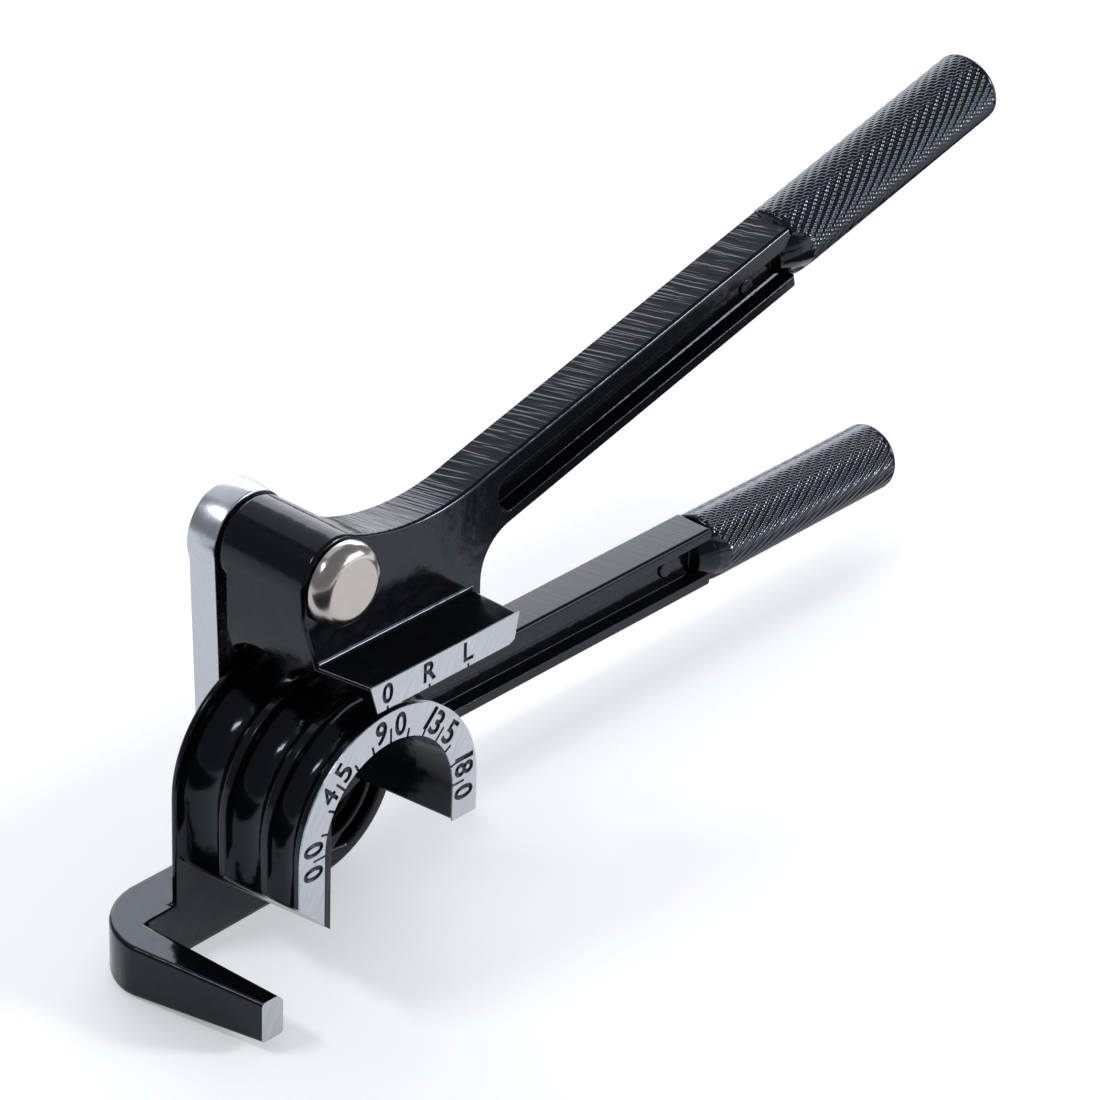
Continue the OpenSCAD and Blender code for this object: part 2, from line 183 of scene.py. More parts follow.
def mark_soft_edges(bm, width, is_crisp=lambda edge: False):
    """Weights the sharp edges of a copy for the Bevel modifier, alike along each line."""
    corners = {e for e in bm.edges if e.calc_face_angle(0) > SHARP_ANGLE}
    soft = {e for e in corners if not is_crisp(e)}
    busy = {v for e in soft for v in e.verts}
    room = {e: room_beside(e, busy) for e in soft}
    left = {e for e in soft if room[e] > LEAST_ROUND}
    for edge in corners - left:
        edge.smooth = False
    weight = bm.edges.layers.float[EDGE_WEIGHT]
    lines = []
    while left:
        line = [left.pop()]
        for edge in line:
            for vert in edge.verts:
                more = [e for e in vert.link_edges if e in left and runs_on(edge, e, vert)]
                left.difference_update(more)
                line.extend(more)
        share = min(1.0, min(room[e] for e in line) / width)
        for edge in line:
            edge[weight] = share
        lines.append((sum(e.calc_length() for e in line) / MM, share * width / MM))
    length, rounded = max(lines)
    print("rounded", len(lines), "lines of edges; the longest has", round(length),
          "mm by", round(rounded, 2), "mm")


# %% [markdown]
# A rounded edge would also bend the light on the flat faces beside it. Weighted
# normals let the large faces lead, so that these stay flat to the eye.

# %% Rounding
ROUND_STEPS = 3
LARGE_FACES_LEAD = 100


def round_soft_edges(obj, width):
    """Rounds the marked edges, and lets the flat faces set the normals."""
    bevel = obj.modifiers.new("soft_edges", "BEVEL")
    bevel.limit_method = "WEIGHT"
    bevel.width = width
    bevel.segments = ROUND_STEPS
    bevel.use_clamp_overlap = False
    weighted = obj.modifiers.new("flat_faces_lead", "WEIGHTED_NORMAL")
    weighted.keep_sharp = True
    weighted.weight = LARGE_FACES_LEAD


# %% [markdown]
# ## Colours and nodes
# Colours are written as sRGB hex values, as a colour picker shows them. Shaders
# want linear light, so one function turns them. A second one adds a shader node,
# sets its values and joins its inputs, so that a material reads from top to bottom.

# %% Helpers for materials


def hex_linear(code):
    """An sRGB hex colour as linear RGBA."""
    parts = [int(code[i:i + 2], 16) / 255 for i in (1, 3, 5)]
    return [c / 12.92 if c <= 0.04045 else ((c + 0.055) / 1.055) ** 2.4 for c in parts] + [1.0]


def add_node(tree, kind, inputs=None, **settings):
    """Adds one node; inputs are values, or output sockets to join."""
    node = tree.nodes.new(kind)
    for name, value in settings.items():
        setattr(node, name, value)
    for name, value in (inputs or {}).items():
        if isinstance(value, bpy.types.NodeSocket):
            tree.links.new(value, node.inputs[name])
        else:
            node.inputs[name].default_value = value
    return node


def new_material(name, colour, metallic, roughness):
    """A material with its Principled shader alone, and its node tree."""
    material = bpy.data.materials.new(name)
    material.use_nodes = True
    tree = material.node_tree
    shader = tree.nodes["Principled BSDF"]
    shader.inputs["Base Color"].default_value = hex_linear(colour)
    shader.inputs["Metallic"].default_value = metallic
    shader.inputs["Roughness"].default_value = roughness
    print("made", name)
    return material, tree, shader


# %% [markdown]
# ## Black enamel on a die casting
# The handles are die castings under a thin coat of gloss enamel. The coat is
# almost black and mirrors the studio, a little cooler than it is. The casting below
# gives it a faint waviness of 3 mm, and the coat itself has an orange peel of half
# a millimetre. Both could be sculpted, but they are far too shallow to change an
# outline, so they are bumps.

# %% Gloss enamel
ENAMEL_BLACK = "#07080a"
COOL = hex_linear("#dfeeff")
GLOSS = 0.3
WAVE, WAVE_DEPTH = 3 * MM, 0.06 * MM
PEEL, PEEL_DEPTH = 0.5 * MM, 0.006 * MM


def new_enamel(name, roughness):
    """Black enamel before it gets its relief."""
    material, tree, shader = new_material(name, ENAMEL_BLACK, 0.0, roughness)
    shader.inputs["Specular IOR Level"].default_value = GLOSS
    shader.inputs["Specular Tint"].default_value = COOL
    return material, tree, shader


# The eye sees a black mirror with slightly wavy, cool reflections.
enamel, tree, shader = new_enamel("gloss_enamel_on_casting", 0.13)
place = add_node(tree, "ShaderNodeTexCoord")
waves = add_node(tree, "ShaderNodeTexNoise", {
    "Vector": place.outputs["Object"], "Scale": 1 / WAVE, "Detail": 1.0})
peel = add_node(tree, "ShaderNodeTexNoise", {
    "Vector": place.outputs["Object"], "Scale": 1 / PEEL, "Detail": 2.0})
wave_bump = add_node(tree, "ShaderNodeBump", {
    "Height": waves.outputs["Fac"], "Strength": 1.0, "Distance": WAVE_DEPTH})
peel_bump = add_node(tree, "ShaderNodeBump", {
    "Height": peel.outputs["Fac"], "Strength": 1.0, "Distance": PEEL_DEPTH,
    "Normal": wave_bump.outputs["Normal"]})
tree.links.new(peel_bump.outputs["Normal"], shader.inputs["Normal"])

# %% [markdown]
# ## Enamel over linished tops
# The tops of both beams were run over an abrasive belt before painting. Its
# strokes go across the beam at a slant and still show through the paint, clearly on
# the lever and hardly on the lower handle. Lines could be cut into the mesh, but a
# noise that is short along the beam and long across it makes such strokes with no
# extra faces. They fade towards the front edge, which the belt hardly touched.

# %% Enamel over belt strokes
STROKE_SLANT = math.radians(13.4)
STROKE_SIZE = (0.8 * MM, 14 * MM, 14 * MM)
STROKE_FADE = 4.5 * MM
STROKE_LOW, STROKE_HIGH = 0.4, 0.64


def linished_enamel(name, depth, front):
    """Enamel over belt strokes of a given depth, which fade towards y = front."""
    material, tree, shader = new_enamel(name, 0.14)
    place = add_node(tree, "ShaderNodeTexCoord")
    stretch = add_node(tree, "ShaderNodeMapping", {
        "Vector": place.outputs["Object"], "Rotation": (0, 0, STROKE_SLANT),
        "Scale": STROKE_SIZE}, vector_type="TEXTURE")
    strokes = add_node(tree, "ShaderNodeTexNoise", {
        "Vector": stretch.outputs["Vector"], "Scale": 1.0, "Detail": 1.5})
    lines = add_node(tree, "ShaderNodeMapRange", {
        "Value": strokes.outputs["Fac"], "From Min": STROKE_LOW, "From Max": STROKE_HIGH},
        interpolation_type="SMOOTHSTEP")
    axes = add_node(tree, "ShaderNodeSeparateXYZ", {"Vector": place.outputs["Object"]})
    fade = add_node(tree, "ShaderNodeMapRange", {
        "Value": axes.outputs["Y"], "From Min": front, "From Max": front + STROKE_FADE})
    height = add_node(tree, "ShaderNodeMath", {
        0: lines.outputs["Result"], 1: fade.outputs["Result"]}, operation="MULTIPLY")
    bump = add_node(tree, "ShaderNodeBump", {
        "Height": height.outputs[0], "Strength": 1.0, "Distance": depth})
    tree.links.new(bump.outputs["Normal"], shader.inputs["Normal"])
    return material


# The eye sees bright dashes on black, and only a fine grain on the lower handle.
deep_strokes = linished_enamel(
    "gloss_enamel_over_linished_casting", depth=0.06 * MM, front=9.5 * MM)
faint_strokes = linished_enamel(
    "gloss_enamel_over_fine_linished_casting", depth=0.01 * MM, front=36 * MM)

# %% [markdown]
# ## Bare milled faces
# The dial face, the shoe's strip and the finger's end were milled after painting.
# They are bare aluminium with fine straight tool marks at a slant. One noise gives
# the marks both their tone and their small relief, so that the two agree.

# %% Milled aluminium
# Real tool marks are finer. They are drawn 0.16 mm wide, so that they show.
TOOL_SLANT = math.radians(32)
TOOL_SIZE = (0.16 * MM, MM, 6 * MM)
TOOL_DEPTH = 0.03 * MM

# The eye sees a pale grey face with faint lighter and darker lines.
milled, tree, shader = new_material("milled_bare_aluminium", "#b4b8be", 1.0, 0.34)
place = add_node(tree, "ShaderNodeTexCoord")
slanted = add_node(tree, "ShaderNodeMapping", {
    "Vector": place.outputs["Object"], "Rotation": (0, TOOL_SLANT, 0), "Scale": TOOL_SIZE},
    vector_type="TEXTURE")
marks = add_node(tree, "ShaderNodeTexNoise", {
    "Vector": slanted.outputs["Vector"], "Scale": 1.0, "Detail": 3.0})
tone = add_node(tree, "ShaderNodeMix", {
    "Factor": marks.outputs["Fac"], "A": hex_linear("#8f9399"), "B": hex_linear("#d3d7dd")},
    data_type="RGBA")
tree.links.new(tone.outputs[2], shader.inputs["Base Color"])
bump = add_node(tree, "ShaderNodeBump", {
    "Height": marks.outputs["Fac"], "Strength": 0.4, "Distance": TOOL_DEPTH})
tree.links.new(bump.outputs["Normal"], shader.inputs["Normal"])

# %% [markdown]
# ## Zinc on the link
# The link and the washers are zinc plated steel. Such plating is bright, a little
# bluish and soft in its reflections, and it dries with a faint mottle of about 2 mm.
# A second colour would look like dirt, so the mottle is in the roughness and in a
# very low bump.

# %% Zinc plating
MOTTLE, MOTTLE_DEPTH = 2.2 * MM, 0.05 * MM

# The eye sees a bluish bright metal, here a little hazy and there a little clear.
zinc, tree, shader = new_material("bright_zinc_plated_steel", "#bcc0c6", 1.0, 0.24)
place = add_node(tree, "ShaderNodeTexCoord")
mottle = add_node(tree, "ShaderNodeTexNoise", {
    "Vector": place.outputs["Object"], "Scale": 1 / MOTTLE, "Detail": 4.0})
haze = add_node(tree, "ShaderNodeMapRange", {
    "Value": mottle.outputs["Fac"], "To Min": 0.14, "To Max": 0.38})
tree.links.new(haze.outputs["Result"], shader.inputs["Roughness"])
bump = add_node(tree, "ShaderNodeBump", {
    "Height": mottle.outputs["Fac"], "Strength": 0.25, "Distance": MOTTLE_DEPTH})
tree.links.new(bump.outputs["Normal"], shader.inputs["Normal"])

# %% [markdown]
# ## Nickel on the rivets
# The rivets are nickel plated, which is warmer than zinc and sharper in its
# reflections. Handling has scuffed their heads a little. Scuffs dull a metal but
# don't stain it, so they are in the roughness alone.

# %% Nickel plating
SCUFF = 1.5 * MM

# The eye sees a warm bright metal with a few duller places.
nickel, tree, shader = new_material("nickel_plated_steel", "#b3aca6", 1.0, 0.2)
place = add_node(tree, "ShaderNodeTexCoord")
scuffs = add_node(tree, "ShaderNodeTexNoise", {
    "Vector": place.outputs["Object"], "Scale": 1 / SCUFF, "Detail": 5.0})
haze = add_node(tree, "ShaderNodeMapRange", {
    "Value": scuffs.outputs["Fac"], "To Min": 0.12, "To Max": 0.3})
tree.links.new(haze.outputs["Result"], shader.inputs["Roughness"])

# %% [markdown]
# ## The castings
# The copy of each casting takes the place of its solid. Enamel, bare metal and belt
# strokes lie on different faces of it. They could be picked by hand, but a rule on
# where a face lies and looks finds the same faces each time the script runs.

# %% Which faces are milled or linished
NEAR = 0.01 * MM
TO_FRONT = -0.999
DIAL_Y = 0.0
FINGER_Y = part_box("forming_handle")[0].y
TOP_SLOPE = 0.75
TOP_WIDTH = 6 * MM
TOP_FROM_X = 6 * MM
TOP_FROM_Y = 12 * MM


def lies_at(face, y):
    """True for a flat face that looks to the front and lies at a given y."""
    return face.normal.y < TO_FRONT and abs(face.calc_center_median().y - y) < NEAR


def is_linished(face):
    """True for the upper faces of the beams, which reach over a beam's whole width."""
    middle = face.calc_center_median()
    ys = [v.co.y for v in face.verts]
    on_beam = middle.x > TOP_FROM_X and middle.y > TOP_FROM_Y
    return on_beam and face.normal.z > TOP_SLOPE and max(ys) - min(ys) > TOP_WIDTH


print("the finger's end lies at y =", round(FINGER_Y / MM, 2), "mm")

# %% [markdown]
# The solids have plain round grips. They come off the copies, because knurled ones
# follow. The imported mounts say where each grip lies, so it isn't measured again.

# %% Taking off a plain grip


def grip_frame(name):
    """A grip's middle, direction, radius and half length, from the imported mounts."""
    mount = mounts[name]
    radius, length = mount["dims"]["r_mm"] * MM, mount["dims"]["length_mm"] * MM
    return Vector(mount["pos_m"]), Vector(mount["axis"]), radius, length / 2


def remove_grip(bm, name):
    """Deletes the plain round grip of a copy and closes the hole at its neck."""
    middle, along, _, half = grip_frame(name)
    start = -half - NEAR
    plain = [f for f in bm.faces if all((v.co - middle).dot(along) > start for v in f.verts)]
    bmesh.ops.delete(bm, geom=plain, context="FACES")
    bmesh.ops.edgeloop_fill(bm, edges=[e for e in bm.edges if e.is_boundary])
    print("took", len(plain), "grip faces off for", name)


# %% [markdown]
# The milled front face steps back by the thickness of the figured plate that is
# laid on it below, and keeps its crisp edges. On the handle one long edge runs along
# the beam and on past the guard disc, where small facets leave no room for a bevel.
# A cut across the copy at the guard's end makes two lines of it, so that the beam's
# part can be rounded.

# %% The two castings, and their milled faces as plates
PLATE = 0.3 * MM
EDGE_ROUND = 0.8 * MM
SHORT_EDGE = 0.28 * MM
GUARD_END = 34 * MM


def copy_of_faces(bm, faces):
    """A bmesh of some faces alone; a copy's faces are numbered as those of its source."""
    part = bm.copy()
    part.faces.ensure_lookup_table()
    kept = {f.index for f in faces}
    others = [f for f in part.faces if f.index not in kept]
    bmesh.ops.delete(part, geom=others, context="FACES")
    return part


def casting(node, grip, name, body, tops, cut_x=None):
    """A casting's visual copy, and its milled front face for a figured plate."""
    bm = merged_copy(node, SHORT_EDGE)
    remove_grip(bm, grip)
    if cut_x:
        bmesh.ops.bisect_plane(bm, geom=list(bm.verts) + list(bm.edges) + list(bm.faces),
                               plane_co=(cut_x, 0, 0), plane_no=(1, 0, 0), dist=SAME_POINT)
    for face in bm.faces:
        if lies_at(face, FINGER_Y):
            face.material_index = 1
        elif is_linished(face):
            face.material_index = 2
    front = [f for f in bm.faces if lies_at(f, DIAL_Y)]
    plate = copy_of_faces(bm, front)
    crisp = {v for f in front for v in f.verts}
    bmesh.ops.translate(bm, vec=(0, PLATE, 0), verts=list(crisp))
    crisp.update(v for v in bm.verts if v.co.y < FINGER_Y + NEAR)
    mark_soft_edges(bm, EDGE_ROUND, lambda edge: all(v in crisp for v in edge.verts))
    obj = piece(bm, name, body, [enamel, milled, tops])
    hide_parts(node)
    round_soft_edges(obj, EDGE_ROUND)
    return plate


dial_plate = casting("forming_handle", "lower_grip", "handle_casting", "handle",
                     faint_strokes, GUARD_END)
strip_plate = casting("bending_lever", "lever_grip", "lever_casting", "lever", deep_strokes)

# %% [markdown]
# ## Ejector marks
# Pins push a die casting out of its mould and leave a round mark each. One shows on
# the web near either grip. A low cone with a small draft and a soft rim is enough.

# %% Round marks on both webs
PIN_H = 0.5 * MM
PIN_DRAFT = 0.15 * MM
PIN_RIM = 0.25 * MM
PIN_SIDES = 48
for name, body, middle, radius in (
    ("handle_ejector_mark", "handle", (115.6 * MM, 40.3 * MM, -15.2 * MM), 1.9 * MM),
    ("lever_ejector_mark", "lever", (102.3 * MM, 13.8 * MM, 57.9 * MM), 1.7 * MM),
):
    bm = bmesh.new()
    bmesh.ops.create_cone(bm, cap_ends=True, segments=PIN_SIDES, radius1=radius,
                          radius2=radius - PIN_DRAFT, depth=2 * PIN_H)
    rim = [e for e in bm.edges if all(v.co.z > 0 for v in e.verts)]
    bmesh.ops.bevel(bm, geom=rim, offset=PIN_RIM, affect="EDGES", segments=3, profile=0.5,
                    material=-1)
    to_front = Matrix.Translation(middle) @ Matrix.Rotation(math.pi / 2, 4, "X")
    bmesh.ops.transform(bm, matrix=to_front, verts=bm.verts)
    for face in bm.faces:
        face.smooth = len(face.verts) == 4
    piece(bm, name, body, [enamel])

# %% [markdown]
# ## Figures on the dial and the strip
# The figures were stamped before the faces were milled, so they are black with
# sharp outlines. Each bare face becomes a thin plate, and the figures are cut
# through it, down to the black casting behind. A texture could draw them too, but a
# cut keeps its edges from close by and holds in the exported model. The cutters come
# from Blender's own font, made a little bolder by moving their outlines outwards.

# %% A figure as a prism
BOLDER = 0.17 * MM


def span(values):
    """The middle and the size of a list of numbers."""
    return (max(values) + min(values)) / 2, max(values) - min(values)


def figure(bm, text, height, width, place):
    """Adds one character as a prism, centred on place and of a given height and width."""
    curve = bpy.data.curves.new("figure", "FONT")
    curve.body = text
    curve.extrude = 1.0
    holder = bpy.data.objects.new("figure", curve)
    mesh = bpy.data.meshes.new_from_object(holder)
    bpy.data.objects.remove(holder)
    mid_x, size_x = span([v.co.x for v in mesh.vertices])
    mid_y, size_y = span([v.co.y for v in mesh.vertices])
    fit = Matrix.Diagonal((width / size_x, height / size_y, MM, 1))
    mesh.transform(fit @ Matrix.Translation((-mid_x, -mid_y, 0)))
    bold = bmesh.new()
    bold.from_mesh(mesh)
    bmesh.ops.remove_doubles(bold, verts=bold.verts, dist=SAME_POINT)
    bold.normal_update()
    for vert in bold.verts:
        vert.co += Vector((vert.normal.x, vert.normal.y, 0)).normalized() * BOLDER
    bold.to_mesh(mesh)
    bold.free()
    mesh.transform(place)
    bm.from_mesh(mesh)
    bpy.data.meshes.remove(mesh)


# %% [markdown]
# A tick is a cube scaled to a bar. Figures and ticks are made lying flat, and one
# helper stands them up on the milled plane and turns them there.

# %% Ticks, and places on the milled plane
TICK_WIDTH = 0.5 * MM
CUTTER_DEPTH = 2 * MM


def tick(bm, length, place):
    """Adds a straight mark as a prism, from place upwards."""
    made = bmesh.ops.create_cube(bm, size=1.0)["verts"]
    bmesh.ops.scale(bm, vec=(TICK_WIDTH, length, CUTTER_DEPTH), verts=made)
    bmesh.ops.translate(bm, vec=(0, length / 2, 0), verts=made)
    bmesh.ops.transform(bm, matrix=place, verts=made)


def on_face(x, z, turn=0.0):
    """A place on the milled plane: right and up of the figure lie in it, turned clockwise."""
    upright = Matrix.Rotation(math.pi / 2, 4, "X")
    return Matrix.Translation((x, DIAL_Y, z)) @ Matrix.Rotation(turn, 4, "Y") @ upright


# %% [markdown]
# A boolean cuts all the figures of a plate at once. Its result is kept as the mesh
# straight away, so that the cutter can go and the piece has no live modifier.

# %% A plate with its figures cut through


def thick_plate(bm, name, body):
    """Gives a milled face its thickness and makes it a piece."""
    made = bmesh.ops.extrude_face_region(bm, geom=list(bm.faces))["geom"]
    back_verts = [g for g in made if isinstance(g, bmesh.types.BMVert)]
    bmesh.ops.translate(bm, vec=(0, PLATE, 0), verts=back_verts)
    bmesh.ops.recalc_face_normals(bm, faces=bm.faces)
    for face in bm.faces:
        face.smooth = False
        face.material_index = 0
    return piece(bm, name, body, [milled])


def cut_figures(obj, cutter_bm):
    """Cuts figures and ticks through a plate."""
    bmesh.ops.remove_doubles(cutter_bm, verts=cutter_bm.verts, dist=SAME_POINT)
    bmesh.ops.recalc_face_normals(cutter_bm, faces=cutter_bm.faces)
    cutter = bm_object(cutter_bm, obj.name + "_cutter")
    cut = obj.modifiers.new("figures", "BOOLEAN")
    cut.operation = "DIFFERENCE"
    cut.solver = "EXACT"
    cut.use_self = True
    cut.use_hole_tolerant = True
    cut.object = cutter
    shown = obj.evaluated_get(bpy.context.evaluated_depsgraph_get())
    mesh = bpy.data.meshes.new_from_object(shown)
    obj.modifiers.clear()
    obj.data = mesh
    bpy.data.objects.remove(cutter)
    print(obj.name, "has", len(mesh.polygons), "faces after its figures were cut")


# %% [markdown]
# The dial runs from 0 on the hook's side clockwise to 180 degrees. It has a tick
# every 15 degrees, and a longer one with a number every 45. A number stands astride
# its tick, so its digits are set one by one, before the tick and after it. A 1 is
# narrower than the others.

# %% Dial from 0 to 180 degrees
TICK_EVERY, NUMBER_EVERY = 15, 45
LONG_TICK, SHORT_TICK = 3.0 * MM, 1.8 * MM
DIAL_IN = 15.2 * MM
TICK_PAST = 0.3 * MM
FIGURE_R = 17.85 * MM
FIGURE_H, FIGURE_W = 4.15 * MM, 2.35 * MM
FIGURE_GAP = 1.12 * MM
DIGIT_STEP = 0.93
ONE_WIDTH = 0.32
NUMBERS = ((0, "0", "0"), (45, "4", "5"), (90, "9", "0"), (135, "13", "5"), (180, "18", "0"))


def on_dial(angle, along, radius):
    """A place on the dial: beside the line of an angle, at a radius."""
    return on_face(0, 0, math.radians(angle - 90)) @ Matrix.Translation((along, radius, 0))


cutters = bmesh.new()
for angle in range(0, 181, TICK_EVERY):
    length = LONG_TICK if angle % NUMBER_EVERY == 0 else SHORT_TICK
    tick(cutters, length, on_dial(angle, 0, DIAL_IN - TICK_PAST))
side = FIGURE_GAP + FIGURE_W / 2
for angle, before, after in NUMBERS:
    for steps, digit in enumerate(reversed(before)):
        width = FIGURE_W * (ONE_WIDTH if digit == "1" else 1)
        along = -side - steps * DIGIT_STEP * FIGURE_W
        figure(cutters, digit, FIGURE_H, width, on_dial(angle, along, FIGURE_R))
    figure(cutters, after, FIGURE_H, FIGURE_W, on_dial(angle, side, FIGURE_R))
cut_figures(thick_plate(dial_plate, "dial_face", "handle"), cutters)

# %% [markdown]
# The shoe's strip has three marks, 0, R and L, each over a short tick at the lower
# edge. They are cut in the same way as the dial.

# %% Marks on the shoe's strip
STRIP_FIGURE_H = 3.5 * MM
STRIP_FIGURE_UP = 0.3 * MM
STRIP_TICK = 0.9 * MM
strip_zs = [v.co.z for v in strip_plate.verts]
figure_z = span(strip_zs)[0] + STRIP_FIGURE_UP
cutters = bmesh.new()
for mark, x, width in (
    ("0", -0.9 * MM, 2.2 * MM),
    ("R", 9.0 * MM, 2.7 * MM),
    ("L", 18.3 * MM, 2.2 * MM),
):
    figure(cutters, mark, STRIP_FIGURE_H, width, on_face(x, figure_z))
    tick(cutters, STRIP_TICK, on_face(x, min(strip_zs) - TICK_PAST))
cut_figures(thick_plate(strip_plate, "shoe_strip", "lever"), cutters)

# %% [markdown]
# ## Knurled grips
# Both grips carry a cast knurl of two families of grooves at 30 degrees to the
# axis. The family that falls is deep and wide, and the one that rises is twice as
# close and shallow. A bump could show them, but their teeth break the outline of the
# grip, so they are real. Such grooves are waves of the angle round the grip and of
# the way along it.

# %% Enamel on the knurl, and its waves
BOLD_STARTS = 24
BOLD_PITCH = 3.1 * MM
BOLD_DEPTH = 0.3 * MM
FINE_DEPTH = 0.16 * MM
KNURL_GLOSS = 0.55

# The eye sees rows of small glints, brighter than on the smooth enamel.
knurl_enamel = enamel.copy()
knurl_enamel.name = "gloss_enamel_on_knurl"
shader = knurl_enamel.node_tree.nodes["Principled BSDF"]
shader.inputs["Specular IOR Level"].default_value = KNURL_GLOSS
print("made", knurl_enamel.name)


def ease(low, high, value):
    """A smooth step from 0 at low to 1 at high."""
    t = min(1.0, max(0.0, (value - low) / (high - low)))
    return t * t * (3 - 2 * t)


def groove(starts, pitch, turn, run):
    """One family of grooves: 1 in the middle of a groove and 0 on the ridge."""
    return ((1 + math.cos(starts * turn + 2 * math.pi * run / pitch)) / 2) ** 2


# %% [markdown]
# In front the knurl starts after a short smooth cone between the ends of the beam's
# flanges, and a round shoulder closes its start. Hands have worn the top, most on
# the lower grip, and the fine grooves end on the way down the sides. Each of these is
# a smooth step of the angle from the top, in radians, or of the way from the neck.

# %% Radius of the grip at each point
NECK, NECK_R = 3.2 * MM, 5.6 * MM
SHOULDER = 1.3 * MM
CONE_TOP, CONE_BOTTOM = (0.7, 1.3), (2.6, 2.2)
CUT_BEFORE, CUT_AFTER = 0.7 * MM, 0.5 * MM
WORN_TURN = -0.4
WORN_EDGE = (0.25, 0.6)
FINE_FADE = 0.4


def knurl_radius(turn, run, radius, worn_top, fine_end):
    """The grip's radius at an angle from its top and a way from its neck."""
    front = ease(*CONE_TOP, turn) * ease(*CONE_BOTTOM, turn)
    start = NECK * front
    cut = ease(start - CUT_BEFORE, start + CUT_AFTER, run) if front > 0 else 1.0
    cone = NECK_R + (radius - NECK_R) * min(1.0, run / NECK)
    full = cone + (radius - cone) * cut
    full = NECK_R + (full - NECK_R) * math.sqrt(1 - (1 - min(1.0, run / SHOULDER)) ** 2)
    worn = worn_top * (1 - ease(*WORN_EDGE, abs(turn - WORN_TURN)))
    fade = cut * ease(0, SHOULDER, run) * (1 - worn)
    bold = BOLD_DEPTH * groove(BOLD_STARTS, BOLD_PITCH, turn, run)
    fine = FINE_DEPTH * ease(fine_end, fine_end - FINE_FADE, abs(turn))
    return full - fade * (bold + fine * groove(2 * BOLD_STARTS, -BOLD_PITCH / 2, turn, run))


# %% [markdown]
# The knurled tube is open at both ends. A plain core inside it closes them: a disc
# at the neck, a rod, and a crowned cap at the grip's end. It is round, so its
# profile is drawn once and spun.

# %% Core with a crowned end
CROWN = 1.2 * MM
CROWN_IN = 0.06 * MM
CROWN_STEP = 15
CORE_SIDES = 72


def spin_core(bm, radius, half):
    """Adds the core of a grip along X; the profile is a list of radius and way."""
    profile = [(0, -half - NECK), (NECK_R, -half - NECK),
               (NECK_R - 0.2 * MM, half - 0.5 * MM), (radius - 0.35 * MM, half - 0.3 * MM)]
    for step in range(0, 91, CROWN_STEP):
        a = math.radians(step)
        rim = radius - CROWN_IN - CROWN * (1 - math.cos(a))
        profile.append((rim, half + CROWN * math.sin(a)))
    profile.append((0, half + CROWN))
    verts = [bm.verts.new((x, 0, r)) for r, x in profile]
    edges = [bm.edges.new(pair) for pair in zip(verts, verts[1:])]
    bmesh.ops.spin(bm, geom=verts + edges, cent=(0, 0, 0), axis=(1, 0, 0), angle=2 * math.pi,
                   steps=CORE_SIDES, use_merge=True)


# %% [markdown]
# A flat grid is rolled into a tube, with a dozen steps to each groove, and each of
# its points gets the radius from above. The seam of the roll is merged before the
# normals are set, and the grip is then laid on the axis of its mount.

# %% Both grips rolled from flat grids
GRID_STEPS = 12
SEAM = 0.005 * MM


def knurled_grip(mount, name, body, worn_top, fine_end):
    """Rolls a knurled tube, closes it and lays it on a grip's axis."""
    middle, along, radius, half = grip_frame(mount)
    length = 2 * half + NECK
    bm = bmesh.new()
    bmesh.ops.create_grid(bm, x_segments=round(GRID_STEPS * length / BOLD_PITCH),
                          y_segments=GRID_STEPS * BOLD_STARTS, size=0.5)
    for vert in bm.verts:
        turn = 2 * math.pi * vert.co.y
        run = (vert.co.x + 0.5) * length
        r = knurl_radius(turn, run, radius, worn_top, fine_end)
        vert.co = (run - half - NECK, -r * math.sin(turn), r * math.cos(turn))
    spin_core(bm, radius, half)
    bmesh.ops.remove_doubles(bm, verts=bm.verts, dist=SEAM)
    bmesh.ops.recalc_face_normals(bm, faces=bm.faces)
    across = Vector((0, 1, 0))
    place = Matrix((along, across, along.cross(across))).transposed().to_4x4()
    place.translation = middle
    bmesh.ops.transform(bm, matrix=place, verts=bm.verts)
    for face in bm.faces:
        face.smooth = True
    piece(bm, name, body, [knurl_enamel])


knurled_grip("lower_grip", "lower_knurled_grip", "handle", worn_top=0.85, fine_end=1.5)
knurled_grip("lever_grip", "lever_knurled_grip", "lever", worn_top=0.35, fine_end=1.9)

# %% [markdown]
# ## Link, rivets and washers
# The link is a pressed bar with rounded edges. The rivets' heads have a flat
# middle and a rolled rim, and the washers are plain. All are bevelled copies of
# their solids, because their shapes are right and only their edges are too sharp.

# %% Plated pieces
for node, body, slot, metal, width in (
    ("link", "link", "zinc_plate", zinc, 0.7 * MM),
    ("lever_rivet", "link", "rivet_steel", nickel, 0.6 * MM),
    ("die_rivet", "handle", "rivet_steel", nickel, 0.4 * MM),
    ("die_washer", "handle", "zinc_plate", zinc, 0.12 * MM),
    ("lever_washer", "link", "zinc_plate", zinc, 0.12 * MM),
):
    bm = merged_copy(node)
    mark_soft_edges(bm, width)
    obj = piece(bm, node + "_plated", body, [metal])
    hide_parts(node)
    round_soft_edges(obj, width)

# %% [markdown]
# ## Floor
# The studio is white: a pale paper floor runs out of the picture on all sides. More
# light would make it white, but would wash out the tool as well. So the paper glows
# a little, and only for the camera and for what is mirrored or seen through glass.

# %% Floor
FLOOR_Z = cad_box[0].z - 0.05 * MM
FLOOR_HALF = 6.0
FLOOR_GLOW = 0.3
bm = bmesh.new()
bmesh.ops.create_grid(bm, x_segments=1, y_segments=1, size=FLOOR_HALF)
bmesh.ops.translate(bm, vec=(0, 0, FLOOR_Z), verts=bm.verts)
